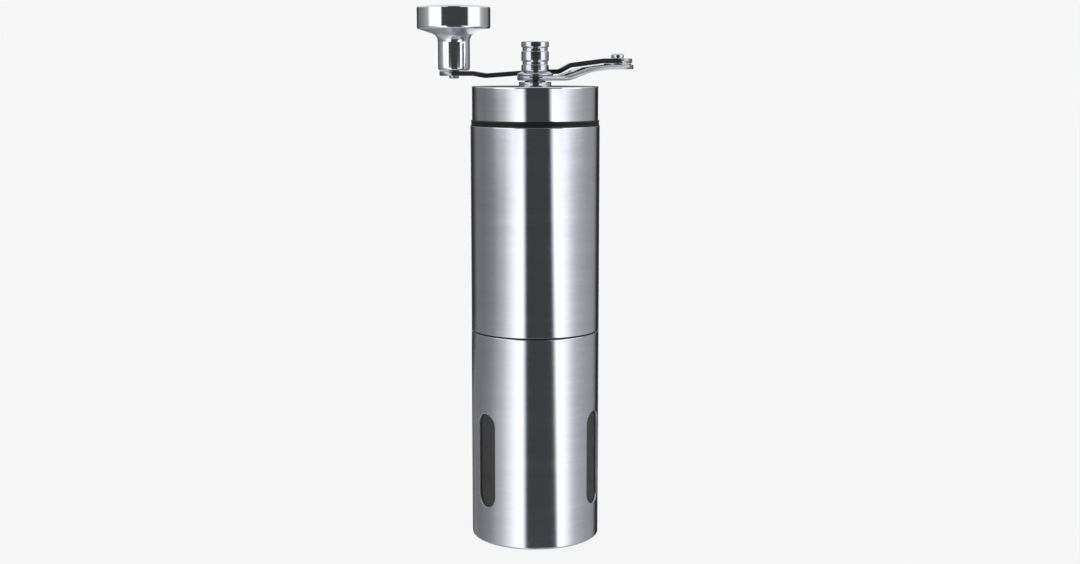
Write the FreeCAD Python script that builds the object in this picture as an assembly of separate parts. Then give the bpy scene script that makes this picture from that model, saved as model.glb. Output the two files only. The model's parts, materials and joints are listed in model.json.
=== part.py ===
import FreeCAD, Part
import math
import os

# Hand crank coffee grinder, in millimetres.
# The origin is the centre of the flat base, +Z is up and the front faces -Y.
# Angles round the body are measured from the front towards +X.

# Casing: two brushed shells, a seam between them, and a cap
body_diameter = 48.0
shell_wall = 0.8
chamber_height = 78.7
seam_height = 0.6
hopper_height = 75.7
rim_height = 1.0
rim_recess = 0.35
base_edge_radius = 0.9
shell_edge_radius = 0.25
cap_diameter = 46.8
cap_height = 12.3
cap_edge_radius = 0.6

# Windows in the chamber shell
window_angles = (-49.5, 64.5, 187.5)
window_width = 9.2
window_height = 35.4
window_centre_height = 31.7

# Clear cup inside the chamber
cup_wall = 1.3
cup_floor = 1.5
cup_drop = 0.4

# Hopper liner and the bracket that holds the shaft at its top
hopper_liner_wall = 2.2
bracket_ledge = 0.8
bracket_depth = 13.6
bracket_rim_width = 1.7
bracket_rim_height = 3.0
bracket_hub_diameter = 13.0
bracket_hub_height = 8.0
spoke_count = 3
spoke_width = 4.0

# Burr carrier: neck into the chamber, funnel above, bridge across the funnel
neck_depth = 13.0
neck_edge_radius = 0.5
seal_height = 2.2
seal_depth = 1.0
seal_drop = 5.0
carrier_rise = 20.0
throat_diameter = 31.0
throat_height = 2.0
bridge_rise = 11.0
bridge_height = 7.0
bridge_hub_diameter = 13.0

# Burrs
outer_burr_height = 14.0
outer_burr_mouth_diameter = 29.6
outer_burr_throat_diameter = 23.0
outer_burr_throat_height = 6.3
outer_burr_exit_diameter = 28.0
outer_burr_wall = 3.5
retainer_height = 2.0
retainer_set_back = 0.9
retainer_notch_count = 3
retainer_notch_width = 4.0
burr_gap = 0.35
inner_burr_top_diameter = 13.0
inner_burr_top_drop = 0.7
inner_burr_skirt = 1.0
tooth_count = 12
tooth_width = 1.5
tooth_depth = 1.1
tooth_slant = 24.0
tooth_cutter_share = 1.6

# Grind adjuster under the inner burr
click_plate_diameter = 20.0
click_plate_height = 1.6
click_count = 12
click_diameter = 1.6
click_depth = 0.5
adjuster_diameter = 23.0
adjuster_height = 7.5
adjuster_edge_radius = 0.8
scallop_count = 10
scallop_diameter = 4.2
insert_diameter = 9.0

# Drive shaft, its bushes, washer and clip
shaft_diameter = 6.0
shaft_flats = 4.8
shaft_thread_diameter = 4.6
shaft_tail = 4.0
shaft_tip_radius = 0.4
hex_across_flats = 5.0
hex_length = 10.4
bush_diameter = 10.0
bush_flange_diameter = 13.0
bush_flange_height = 0.8
washer_diameter = 13.0
washer_height = 0.8
clip_diameter = 10.0
clip_height = 0.8
clip_groove_depth = 0.5
clip_mouth = 4.0

# Spring that presses the inner burr down on the adjuster
spring_wire = 0.9
spring_mean_diameter = 9.2
spring_turns = 5

# Plug inside the cap and the ferrule that the crank turns on
spigot_depth = 4.2
plug_wall = 1.6
plug_roof = 2.0
plug_boss_diameter = 14.0
plug_boss_height = 3.0
ferrule_foot_diameter = 12.0
ferrule_foot_height = 1.6
ferrule_neck_diameter = 7.6
ferrule_tube_diameter = 9.0
ferrule_tube_length = 4.0
ferrule_edge_radius = 0.3

# Folding crank: two bent strips, one above the other, on a rivet
crank_lift = 2.1
arm_thickness = 1.8
arm_gap = 0.5
arm_rise = 4.0
hub_arm_length = 33.8
hub_arm_angle = 23.5
hub_arm_width = 12.0
hub_eye_diameter = 13.2
hub_arm_level_from_rivet = 6.0
hub_arm_ramp_from_rivet = 13.2
hub_arm_ramp = 9.2
hub_arm_ease = 0.9
hub_arm_bend_radius = 8.0
knob_arm_length = 61.6
knob_arm_width = 11.0
knob_arm_level_from_rivet = 5.5
knob_arm_ramp_from_rivet = 17.6
knob_arm_ramp = 4.4
knob_arm_ease = 1.6
knob_arm_bend_radius = 2.5
knob_arm_level = 7.5
knob_arm_sag = 1.5
knob_arm_sag_length = 20.0
knob_pad_lift = 0.8
knob_pad_ramp = 5.0
rivet_diameter = 3.0
rivet_head_diameter = 4.8
rivet_head_height = 1.7
rivet_head_edge_radius = 1.0
rivet_tail_diameter = 5.2
fold_washer_diameter = 10.4

# Crank hub: grooved sleeve with a six-sided socket, and its dished washer
hub_spigot_diameter = 8.0
hub_diameter = 10.1
hub_height = 10.9
hub_edge_radius = 0.35
hub_groove_depth = 0.4
hub_groove_height = 1.4
hub_groove_drops = (2.2, 7.1)
hub_washer_diameter = 13.4
hub_washer_height = 1.5
hub_washer_edge = 0.7

# Knob
knob_diameter = 27.6
knob_stem_diameter = 12.0
knob_stem_height = 13.0
knob_cone_height = 2.5
knob_head_height = 8.5
knob_dome_height = 0.25
knob_stem_fillet = 3.0
knob_edge_radius = 0.8
knob_bore_diameter = 6.6
knob_bore_depth = 19.5
pin_diameter = 3.7
pin_tail = 1.0
pin_head_diameter = 5.2
pin_head_height = 1.5
pin_length = 17.0

# Fits
seat_gap = 0.05
running_gap = 0.05
slip_gap = 0.25
end_gap = 0.1
drive_gap = 0.1

# Radii and heights worked out from the driving sizes
body_radius = body_diameter / 2
shell_bore = body_radius - shell_wall
liner_radius = shell_bore - seat_gap
flange_radius = body_radius - rim_recess
hopper_bottom = chamber_height + seam_height
hopper_top = hopper_bottom + hopper_height
rim_top = hopper_top + rim_height
cap_radius = cap_diameter / 2
cap_bore = cap_radius - shell_wall
cap_bottom = rim_top + end_gap + rim_height
cap_top = cap_bottom + cap_height
plug_top = cap_top - shell_wall

cup_bore = liner_radius - cup_wall
hopper_bore = liner_radius - hopper_liner_wall
bracket_bore = hopper_bore + bracket_ledge
bracket_bottom = rim_top - bracket_depth
bracket_top = bracket_bottom + bracket_hub_height

neck_radius = cup_bore - slip_gap
neck_bottom = chamber_height - neck_depth
seal_top = chamber_height - seal_drop
outer_burr_radius = outer_burr_exit_diameter / 2 + outer_burr_wall
burr_bottom = neck_bottom + retainer_height
burr_top = burr_bottom + outer_burr_height
carrier_top = burr_top + carrier_rise
bridge_bottom = burr_top + bridge_rise
bridge_top = bridge_bottom + bridge_height

inner_top = burr_top - inner_burr_top_drop
inner_bottom = burr_bottom - inner_burr_skirt
plate_bottom = inner_bottom - click_plate_height
adjuster_top = plate_bottom - end_gap
adjuster_bottom = adjuster_top - adjuster_height

shaft_radius = shaft_diameter / 2
shaft_bottom = adjuster_bottom - shaft_tail
washer_top = bridge_bottom - end_gap
washer_bottom = washer_top - washer_height
upper_bush_top = bracket_top + bush_flange_height
clip_bottom = upper_bush_top + end_gap
shaft_bore = shaft_radius + running_gap

crank_bottom = cap_top + crank_lift
hub_arm_top = crank_bottom + arm_thickness
hub_shoulder = hub_arm_top + hub_washer_height
hub_top = hub_shoulder + hub_height
rivet_angle = math.radians(hub_arm_angle)
rivet_x = hub_arm_length * math.cos(rivet_angle)
rivet_y = hub_arm_length * math.sin(rivet_angle)
rivet_arm_top = hub_arm_top + arm_rise
knob_arm_bottom = rivet_arm_top + arm_gap
knob_low_bottom = knob_arm_bottom - arm_rise
knob_pad_bottom = knob_low_bottom - knob_arm_sag + knob_pad_lift
knob_pad_top = knob_pad_bottom + arm_thickness
knob_bottom = knob_pad_top + 2 * end_gap
knob_x = rivet_x - knob_arm_length

Vector = FreeCAD.Vector
UP = Vector(0, 0, 1)
CENTRE = Vector(0, 0, 0)


def rounded_wire(points, radii):
    """Closed wire through the points, each corner rounded by its own radius."""
    count = len(points)
    entries = []
    for index, corner in enumerate(points):
        back = (points[index - 1] - corner).normalize()
        ahead = (points[(index + 1) % count] - corner).normalize()
        if radii[index] <= 0:
            entries.append((corner, None, corner))
            continue
        half_angle = back.getAngle(ahead) / 2
        reach = radii[index] / math.tan(half_angle)
        bisector = (back + ahead).normalize()
        middle = corner + bisector * (radii[index] / math.sin(half_angle) - radii[index])
        entries.append((corner + back * reach, middle, corner + ahead * reach))
    edges = []
    for index, (start, middle, end) in enumerate(entries):
        if middle is not None:
            edges.append(Part.Arc(start, middle, end).toShape())
        following = entries[(index + 1) % count][0]
        if end.distanceToPoint(following) > 1e-6:
            edges.append(Part.LineSegment(end, following).toShape())
    return Part.Wire(edges)


def turned(*corners):
    """Solid turned about Z from (radius, height) corners, with a rounding as a third number."""
    points = [Vector(corner[0], 0, corner[1]) for corner in corners]
    radii = [corner[2] if len(corner) > 2 else 0 for corner in corners]
    return Part.Face(rounded_wire(points, radii)).revolve(CENTRE, UP, 360)


def tube(outer, inner, bottom, top):
    """Plain ring about Z between two heights."""
    return turned((inner, bottom), (outer, bottom), (outer, top), (inner, top))


def rod(radius, bottom, top):
    """Plain cylinder about Z between two heights."""
    return Part.makeCylinder(radius, top - bottom, Vector(0, 0, bottom))


def block(x_low, x_high, y_width, bottom, top):
    """Box between two X values, centred on Y."""
    corner = Vector(x_low, -y_width / 2, bottom)
    return Part.makeBox(x_high - x_low, y_width, top - bottom, corner)


def turned_to(shape, angle):
    """Copy of a shape turned about Z by an angle in degrees."""
    copy = shape.copy()
    copy.rotate(CENTRE, UP, angle)
    return copy


def moved_to(shape, x, y):
    """Copy of a shape moved across the plan."""
    copy = shape.copy()
    copy.translate(Vector(x, y, 0))
    return copy


def ring_of(shape, count, first_angle=0.0):
    """Copies of a shape, evenly spaced about Z."""
    return [turned_to(shape, first_angle + 360 * index / count) for index in range(count)]


def hexagon(across_flats, bottom, top):
    """Six-sided prism about Z."""
    corner_radius = across_flats / math.sqrt(3)
    corners = []
    for index in range(6):
        angle = math.radians(60 * index)
        corners.append(Vector(corner_radius * math.cos(angle), corner_radius * math.sin(angle), bottom))
    outline = Part.makePolygon(corners + corners[:1])
    return Part.Face(outline).extrude(Vector(0, 0, top - bottom))


def double_flat(gap, bottom, top):
    """Round bar with two flats, the shaft's driving section plus a gap all round."""
    reach = shaft_radius + gap
    return rod(reach, bottom, top).common(block(-reach, reach, shaft_flats + 2 * gap, bottom, top))


def bent_strip(path, width, bend_radius):
    """Flat strip of even thickness whose underside follows (length, height) points along X."""
    steps = []
    for here, there in zip(path, path[1:]):
        length = math.hypot(there[0] - here[0], there[1] - here[1])
        steps.append(((there[0] - here[0]) / length, (there[1] - here[1]) / length))
    lower, upper, lower_radii, upper_radii = [], [], [], []
    for index, (along, height) in enumerate(path):
        before = steps[max(index - 1, 0)]
        after = steps[min(index, len(steps) - 1)]
        lean = 1 + before[0] * after[0] + before[1] * after[1]
        shift_along = -(before[1] + after[1]) / lean * arm_thickness
        shift_up = (before[0] + after[0]) / lean * arm_thickness
        turn = before[0] * after[1] - before[1] * after[0]
        is_end = index in (0, len(path) - 1)
        inside = 0 if is_end else bend_radius
        outside = 0 if is_end else bend_radius + arm_thickness
        lower.append(Vector(along, -width / 2, height))
        upper.append(Vector(along + shift_along, -width / 2, height + shift_up))
        lower_radii.append(outside if turn > 0 else inside)
        upper_radii.append(inside if turn > 0 else outside)
    wire = rounded_wire(lower + upper[::-1], lower_radii + upper_radii[::-1])
    return Part.Face(wire).extrude(Vector(0, width, 0))


def strip_outline(length, width, start_diameter):
    """Plan outline of a strip with a round eye at its start and a round far end."""
    low, high = crank_bottom - arm_rise, hub_top + arm_rise
    eye = rod(start_diameter / 2, low, high)
    bar = block(0, length, width, low, high)
    end = moved_to(rod(width / 2, low, high), length, 0)
    return eye.fuse([bar, end])


def biarc(start, start_way, end, end_way):
    """Two tangent arcs between two points with given directions."""
    span = end - start
    ways = start_way + end_way
    spread = 2 * (1 - start_way.dot(end_way))
    along = span.dot(ways)
    reach = (math.sqrt(along * along + spread * span.dot(span)) - along) / spread
    first_corner = start + start_way * reach
    last_corner = end - end_way * reach
    joint = (first_corner + last_corner) * 0.5
    arcs = []
    for tail, corner, head in ((start, first_corner, joint), (joint, last_corner, end)):
        chord_middle = (tail + head) * 0.5
        angle = (corner - tail).getAngle(head - tail)
        middle = chord_middle + (corner - chord_middle) * (math.tan(angle / 2) / math.tan(angle))
        arcs.append(Part.Arc(tail, middle, head).toShape())
    return arcs


def coil(mean_radius, wire_diameter, bottom, top, turns):
    """Wire coil about Z between two heights, as one unbroken tube."""
    first = bottom + wire_diameter / 2
    pitch = (top - bottom - wire_diameter) / turns
    climb = pitch / (2 * math.pi)
    points, ways = [], []
    for index in range(4 * turns + 1):
        angle = math.pi / 2 * index
        cosine, sine = math.cos(angle), math.sin(angle)
        points.append(Vector(mean_radius * cosine, mean_radius * sine, first + climb * angle))
        ways.append(Vector(-mean_radius * sine, mean_radius * cosine, climb).normalize())
    arcs = []
    for index in range(4 * turns):
        arcs += biarc(points[index], ways[index], points[index + 1], ways[index + 1])
    gaps = [points[index + 4].distanceToPoint(points[index]) for index in range(4 * turns - 3)]
    print("least gap between coil turns", round(min(gaps) - wire_diameter, 2))
    section = Part.Wire(Part.makeCircle(wire_diameter / 2, points[0], ways[0]))
    return Part.Wire(arcs).makePipeShell([section], True, False)


def slanted_tooth(low, high):
    """Cutter for one groove along a cone's side, slanted across it, between two (radius, height)."""
    run = Vector(high[0] - low[0], 0, high[1] - low[1])
    length = tooth_cutter_share * run.Length
    corner = Vector(-tooth_depth, -tooth_width / 2, -length / 2)
    cutter = Part.makeBox(2 * tooth_depth, tooth_width, length, corner)
    cutter.rotate(CENTRE, Vector(1, 0, 0), tooth_slant)
    cutter.rotate(CENTRE, Vector(0, 1, 0), math.degrees(math.atan2(run.x, run.z)))
    cutter.translate(Vector((low[0] + high[0]) / 2, 0, (low[1] + high[1]) / 2))
    return cutter


def spokes(reach, bottom, top):
    """Spokes from the shaft line out to a radius."""
    return ring_of(block(0, reach, spoke_width, bottom, top), spoke_count, 90)


def flanged_bush(bottom, top):
    """Plain bearing with its flange on the upper face of what holds it."""
    outer, flange = bush_diameter / 2, bush_flange_diameter / 2
    return turned(
        (shaft_bore, bottom), (outer, bottom), (outer, top), (flange, top),
        (flange, top + bush_flange_height), (shaft_bore, top + bush_flange_height),
    )


def window_cutter():
    """Round-ended upright slot through the front wall."""
    radius = window_width / 2
    half_run = window_height / 2 - radius
    front = -body_radius - radius
    slot = Part.makeBox(window_width, body_radius, 2 * half_run, Vector(-radius, front, -half_run))
    inwards = Vector(0, 1, 0)
    for end in (-half_run, half_run):
        slot = slot.fuse(Part.makeCylinder(radius, body_radius, Vector(0, front, end), inwards))
    slot.translate(Vector(0, 0, window_centre_height))
    return slot


def chamber():
    """Lower shell with its windows, and the clear cup inside it."""
    shell = turned(
        (0, 0), (body_radius, 0, base_edge_radius), (body_radius, chamber_height, shell_edge_radius),
        (shell_bore, chamber_height), (shell_bore, shell_wall), (0, shell_wall),
    )
    floor = shell_wall + cup_floor
    cup_top = chamber_height - cup_drop
    cup = turned(
        (0, shell_wall), (liner_radius, shell_wall), (liner_radius, cup_top),
        (cup_bore, cup_top), (cup_bore, floor), (0, floor),
    )
    windows = [turned_to(window_cutter(), angle) for angle in window_angles]
    return {
        "chamber_shell": shell.cut(windows),
        "chamber_cup": cup,
    }


def burr_carrier():
    """Black moulding that joins the shells, holds the outer burr and bridges the funnel."""
    groove = neck_radius - seal_depth
    seat = outer_burr_radius + seat_gap
    throat = throat_diameter / 2
    body = turned(
        (seat, neck_bottom), (neck_radius, neck_bottom, neck_edge_radius),
        (neck_radius, seal_top - seal_height), (groove, seal_top - seal_height),
        (groove, seal_top), (neck_radius, seal_top), (neck_radius, chamber_height),
        (flange_radius, chamber_height), (flange_radius, hopper_bottom),
        (liner_radius, hopper_bottom), (liner_radius, carrier_top), (hopper_bore, carrier_top),
        (throat, burr_top + throat_height), (throat, burr_top), (seat, burr_top),
    )
    arms = spokes((hopper_bore + liner_radius) / 2, bridge_bottom, bridge_top)
    bridge = rod(bridge_hub_diameter / 2, bridge_bottom, bridge_top)
    joined = body.fuse(arms + [bridge]).removeSplitter()
    return joined.cut(rod(bush_diameter / 2 + seat_gap, bridge_bottom, bridge_top))


def outer_burr():
    """Ceramic ring: a mouth that narrows to a throat, then opens along the inner cone."""
    throat_top = burr_bottom + outer_burr_throat_height
    throat = outer_burr_throat_diameter / 2
    mouth = outer_burr_mouth_diameter / 2
    ring = turned(
        (outer_burr_exit_diameter / 2, burr_bottom), (outer_burr_radius, burr_bottom),
        (outer_burr_radius, burr_top), (mouth, burr_top), (throat, throat_top),
    )
    tooth = slanted_tooth((throat, throat_top), (mouth, burr_top))
    return ring.cut(ring_of(tooth, tooth_count))


def top_bracket():
    """Three-spoke bracket that stands on the liner's ledge and holds the upper bush."""
    rim_outer = bracket_bore - seat_gap
    rim_top_face = bracket_bottom + bracket_rim_height
    rim = tube(rim_outer, rim_outer - bracket_rim_width, bracket_bottom, rim_top_face)
    hub = rod(bracket_hub_diameter / 2, bracket_bottom, bracket_top)
    arms = spokes(rim_outer - bracket_rim_width / 2, bracket_bottom, rim_top_face)
    bracket = rim.fuse(arms + [hub]).removeSplitter()
    return bracket.cut(rod(bush_diameter / 2 + seat_gap, bracket_bottom, bracket_top))


def hopper():
    """Upper shell with the liner, bracket, carrier, outer burr and bearings inside it."""
    shell = turned(
        (shell_bore, hopper_bottom), (body_radius, hopper_bottom, shell_edge_radius),
        (body_radius, hopper_top, shell_edge_radius), (shell_bore, hopper_top),
    )
    liner = turned(
        (hopper_bore, carrier_top), (liner_radius, carrier_top), (liner_radius, hopper_top),
        (flange_radius, hopper_top), (flange_radius, rim_top), (bracket_bore, rim_top),
        (bracket_bore, bracket_bottom), (hopper_bore, bracket_bottom),
    )
    seal_bore = neck_radius - seal_depth + seat_gap
    seal = tube(cup_bore - running_gap, seal_bore, seal_top - seal_height, seal_top)
    retainer_bore = outer_burr_exit_diameter / 2 + retainer_set_back
    retainer = tube(outer_burr_radius, retainer_bore, neck_bottom, burr_bottom)
    notch_end = (retainer_bore + outer_burr_radius) / 2
    notch = block(0, notch_end, retainer_notch_width, neck_bottom, burr_bottom)
    return {
        "hopper_shell": shell,
        "hopper_liner": liner,
        "top_bracket": top_bracket(),
        "upper_bush": flanged_bush(bracket_bottom, bracket_top),
        "burr_carrier": burr_carrier(),
        "neck_seal": seal,
        "lower_bush": flanged_bush(bridge_bottom, bridge_top),
        "outer_burr": outer_burr(),
        "burr_retainer": retainer.cut(ring_of(notch, retainer_notch_count)),
    }


def cap():
    """Steel cap with the black plug inside it and the ferrule through its centre."""
    ferrule_tube = ferrule_tube_diameter / 2
    ferrule_hole = ferrule_tube + seat_gap
    shell = turned(
        (ferrule_hole, plug_top), (cap_bore, plug_top), (cap_bore, cap_bottom),
        (cap_radius, cap_bottom, shell_edge_radius), (cap_radius, cap_top, cap_edge_radius),
        (ferrule_hole, cap_top),
    )
    spigot = bracket_bore - slip_gap
    hollow = spigot - plug_wall
    boss = plug_boss_diameter / 2
    roof = plug_top - plug_roof
    plug_radius = cap_bore - seat_gap
    plug = turned(
        (ferrule_hole, roof - plug_boss_height), (boss, roof - plug_boss_height), (boss, roof),
        (hollow, roof), (hollow, rim_top - spigot_depth), (spigot, rim_top - spigot_depth),
        (spigot, rim_top + end_gap), (flange_radius, rim_top + end_gap), (flange_radius, cap_bottom),
        (plug_radius, cap_bottom), (plug_radius, plug_top), (ferrule_hole, plug_top),
    )
    foot = ferrule_foot_diameter / 2
    neck = ferrule_neck_diameter / 2
    foot_top = cap_top + ferrule_foot_height
    neck_top = crank_bottom - end_gap
    bore = shaft_radius + slip_gap
    ferrule = turned(
        (bore, cap_top - ferrule_tube_length), (ferrule_tube, cap_top - ferrule_tube_length),
        (ferrule_tube, cap_top), (foot, cap_top), (foot, foot_top, ferrule_edge_radius),
        (neck, foot_top), (neck, neck_top), (bore, neck_top),
    )
    return {"cap_shell": shell, "cap_plug": plug, "cap_ferrule": ferrule}


def shaft():
    """Drive shaft with its clip, thrust washer and burr spring."""
    thread = shaft_thread_diameter / 2
    groove = shaft_radius - clip_groove_depth
    clip_top = clip_bottom + clip_height
    round_top = crank_bottom + end_gap
    bar = turned(
        (0, shaft_bottom), (thread, shaft_bottom, shaft_tip_radius), (thread, plate_bottom),
        (shaft_radius, plate_bottom), (shaft_radius, clip_bottom), (groove, clip_bottom),
        (groove, clip_top), (shaft_radius, clip_top), (shaft_radius, round_top), (0, round_top),
    )
    driving = double_flat(0, plate_bottom, washer_bottom)
    flats = rod(shaft_diameter, plate_bottom, washer_bottom).cut(driving)
    thread_core = rod(thread, shaft_bottom, plate_bottom)
    hex_end = hexagon(hex_across_flats, round_top, round_top + hex_length)
    bar = bar.cut(flats).fuse([thread_core, hex_end])
    clip = tube(clip_diameter / 2, groove + seat_gap, clip_bottom, clip_top)
    mouth = block(0, clip_diameter, clip_mouth, clip_bottom, clip_top)
    spring_radius = spring_mean_diameter / 2
    return {
        "drive_shaft": bar.removeSplitter(),
        "shaft_clip": clip.cut(mouth),
        "thrust_washer": tube(washer_diameter / 2, shaft_bore, washer_bottom, washer_top),
        "burr_spring": coil(spring_radius, spring_wire, inner_top, washer_bottom, spring_turns),
    }


def inner_burr_set():
    """Ceramic cone on the shaft's flats, with the click plate under it."""
    exit_radius = outer_burr_exit_diameter / 2 - burr_gap
    top_radius = inner_burr_top_diameter / 2
    cone = turned(
        (0, inner_bottom), (exit_radius, inner_bottom), (exit_radius, burr_bottom),
        (top_radius, inner_top), (0, inner_top),
    )
    tooth = slanted_tooth((exit_radius, burr_bottom), (top_radius, inner_top))
    cone = cone.cut(ring_of(tooth, tooth_count)).cut(double_flat(drive_gap, inner_bottom, inner_top))
    plate = rod(click_plate_diameter / 2, plate_bottom, inner_bottom)
    dimple = rod(click_diameter / 2, plate_bottom, plate_bottom + click_depth)
    dimple_radius = (click_plate_diameter + insert_diameter) / 4
    plate = plate.cut(ring_of(moved_to(dimple, dimple_radius, 0), click_count))
    return {
        "inner_burr": cone,
        "click_plate": plate.cut(double_flat(drive_gap, plate_bottom, inner_bottom)),
    }


def adjuster():
    """Scalloped grind adjuster with a threaded metal insert."""
    outer = adjuster_diameter / 2
    insert = insert_diameter / 2
    bore = insert + seat_gap
    wheel = turned(
        (bore, adjuster_bottom), (outer, adjuster_bottom, adjuster_edge_radius),
        (outer, adjuster_top, adjuster_edge_radius), (bore, adjuster_top),
    )
    scallop = rod(scallop_diameter / 2, adjuster_bottom, adjuster_top)
    scallop = moved_to(scallop, outer + scallop_diameter / 4, 0)
    thread = shaft_thread_diameter / 2 + running_gap
    return {
        "adjuster_wheel": wheel.cut(ring_of(scallop, scallop_count)),
        "adjuster_insert": tube(insert, thread, adjuster_bottom, adjuster_top),
    }


def crank():
    """Hub arm with its grooved hub, washer and the rivet that the knob arm folds on."""
    spigot = hub_spigot_diameter / 2
    ramp_end = hub_arm_length - hub_arm_ramp_from_rivet
    ramp_start = ramp_end - hub_arm_ramp
    level_start = hub_arm_length - hub_arm_level_from_rivet
    reach = hub_arm_width / 2
    high = crank_bottom + arm_rise
    path = [
        (-hub_eye_diameter / 2, crank_bottom), (ramp_start, crank_bottom),
        (ramp_end, high - hub_arm_ease), (level_start, high), (hub_arm_length + reach, high),
    ]
    arm = bent_strip(path, hub_eye_diameter, hub_arm_bend_radius)
    arm = arm.common(strip_outline(hub_arm_length, hub_arm_width, hub_eye_diameter))
    arm = arm.cut(rod(spigot + seat_gap, crank_bottom, hub_arm_top))
    shank, head, tail = rivet_diameter / 2, rivet_head_diameter / 2, rivet_tail_diameter / 2
    tail_top = high + tail - shank
    rivet_hole = turned(
        (0, high), (tail + seat_gap, high), (shank + seat_gap, tail_top),
        (shank + seat_gap, rivet_arm_top), (0, rivet_arm_top),
    )
    arm = arm.cut(moved_to(rivet_hole, hub_arm_length, 0))

    outer = hub_diameter / 2
    hub = turned(
        (0, crank_bottom), (spigot, crank_bottom), (spigot, hub_shoulder), (outer, hub_shoulder),
        (outer, hub_top, hub_edge_radius), (0, hub_top),
    )
    groove_floor = outer - hub_groove_depth
    for drop in hub_groove_drops:
        groove_top = hub_top - drop
        hub = hub.cut(tube(hub_diameter, groove_floor, groove_top - hub_groove_height, groove_top))
    socket_top = crank_bottom + 2 * end_gap + hex_length
    hub = hub.cut(hexagon(hex_across_flats + 2 * drive_gap, crank_bottom, socket_top))
    hub = hub.cut(rod(shaft_bore, crank_bottom, crank_bottom + 2 * end_gap))

    washer_radius = hub_washer_diameter / 2
    washer_bore = spigot + seat_gap
    washer = turned(
        (washer_bore, hub_arm_top), (washer_radius, hub_arm_top),
        (washer_radius, hub_arm_top + hub_washer_edge), (outer, hub_shoulder), (washer_bore, hub_shoulder),
    )

    head_bottom = knob_arm_bottom + arm_thickness + end_gap
    head_top = head_bottom + rivet_head_height
    rivet = turned(
        (0, high), (tail, high), (shank, tail_top), (shank, head_bottom), (head, head_bottom),
        (head, head_top, rivet_head_edge_radius), (0, head_top),
    )
    washer_face = knob_arm_bottom - end_gap
    fold_washer = tube(fold_washer_diameter / 2, shank + seat_gap, rivet_arm_top, washer_face)
    return {
        "hub_arm": turned_to(arm, hub_arm_angle),
        "crank_hub": hub,
        "hub_washer": washer,
        "fold_rivet": moved_to(rivet, rivet_x, rivet_y),
        "fold_washer": moved_to(fold_washer, rivet_x, rivet_y),
    }


def knob_arm():
    """Upper strip from the rivet to the knob, drawn folded back past the hub, and the knob's pin."""
    reach = knob_arm_width / 2
    ramp_end = knob_arm_ramp_from_rivet + knob_arm_ramp
    sag_start = ramp_end + knob_arm_level
    sag_end = sag_start + knob_arm_sag_length
    path = [
        (-reach, knob_arm_bottom), (knob_arm_level_from_rivet, knob_arm_bottom),
        (knob_arm_ramp_from_rivet, knob_arm_bottom - knob_arm_ease),
        (ramp_end, knob_low_bottom), (sag_start, knob_low_bottom),
        (sag_end, knob_low_bottom - knob_arm_sag),
        (sag_end + knob_pad_ramp, knob_pad_bottom), (knob_arm_length + reach, knob_pad_bottom),
    ]
    arm = bent_strip(path, knob_arm_width, knob_arm_bend_radius)
    arm = arm.common(strip_outline(knob_arm_length, knob_arm_width, knob_arm_width))
    arm = arm.cut(rod(rivet_diameter / 2 + running_gap, knob_arm_bottom, knob_arm_bottom + arm_thickness))
    pin_hole = rod(pin_diameter / 2 + seat_gap, knob_pad_bottom, knob_pad_top)
    arm = arm.cut(moved_to(pin_hole, knob_arm_length, 0))
    arm = turned_to(arm, 180)

    shank, head = pin_diameter / 2, pin_head_diameter / 2
    shank_top = knob_bottom + pin_length
    head_top = shank_top + pin_head_height
    tail_bottom = knob_pad_bottom - pin_tail
    pin = turned(
        (0, tail_bottom), (shank, tail_bottom, pin_tail / 3), (shank, shank_top),
        (head, shank_top), (head, head_top), (0, head_top),
    )
    return {
        "knob_arm": moved_to(arm, rivet_x, rivet_y),
        "knob_pin": moved_to(pin, knob_x, rivet_y),
    }


def knob():
    """Turned mushroom knob with a plastic sleeve that turns on the pin."""
    radius, stem = knob_diameter / 2, knob_stem_diameter / 2
    stem_top = knob_bottom + knob_stem_height
    head_bottom = stem_top + knob_cone_height
    edge_top = head_bottom + knob_head_height
    top = edge_top + knob_dome_height
    blank = turned(
        (0, knob_bottom), (stem, knob_bottom, knob_edge_radius), (stem, stem_top, knob_stem_fillet),
        (radius, head_bottom, knob_edge_radius), (radius, top), (0, top),
    )
    dome_radius = (radius ** 2 + knob_dome_height ** 2) / (2 * knob_dome_height)
    dome = Part.makeSphere(dome_radius, Vector(0, 0, top - dome_radius))
    bore = knob_bore_diameter / 2
    blank = blank.common(dome).cut(rod(bore, knob_bottom, knob_bottom + knob_bore_depth))
    sleeve_bore = pin_diameter / 2 + running_gap
    sleeve_top = knob_bottom + pin_length - end_gap
    sleeve = tube(bore - seat_gap, sleeve_bore, knob_bottom, sleeve_top)
    return {
        "knob": moved_to(blank, knob_x, rivet_y),
        "knob_sleeve": moved_to(sleeve, knob_x, rivet_y),
    }


def build():
    """Write every piece to its own file."""
    os.makedirs("parts", exist_ok=True)
    for group in (chamber, hopper, cap, shaft, inner_burr_set, adjuster, crank, knob_arm, knob):
        for name, shape in group().items():
            shape.exportStep("parts/" + name + ".step")
            print(name, len(shape.Solids), round(shape.Volume, 1), shape.isValid())


build()
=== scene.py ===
"""Looks of a hand crank coffee grinder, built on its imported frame, in metres."""
import json
import logging
import math
from dataclasses import dataclass, replace
from enum import Enum
from functools import cache
from typing import Any

import bmesh
import bpy
from bmesh.types import BMesh, BMVert
from bpy.types import ID, Material, Mesh, Node, NodeSocket, NodeTree, Object
from mathutils import Matrix, Vector


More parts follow.
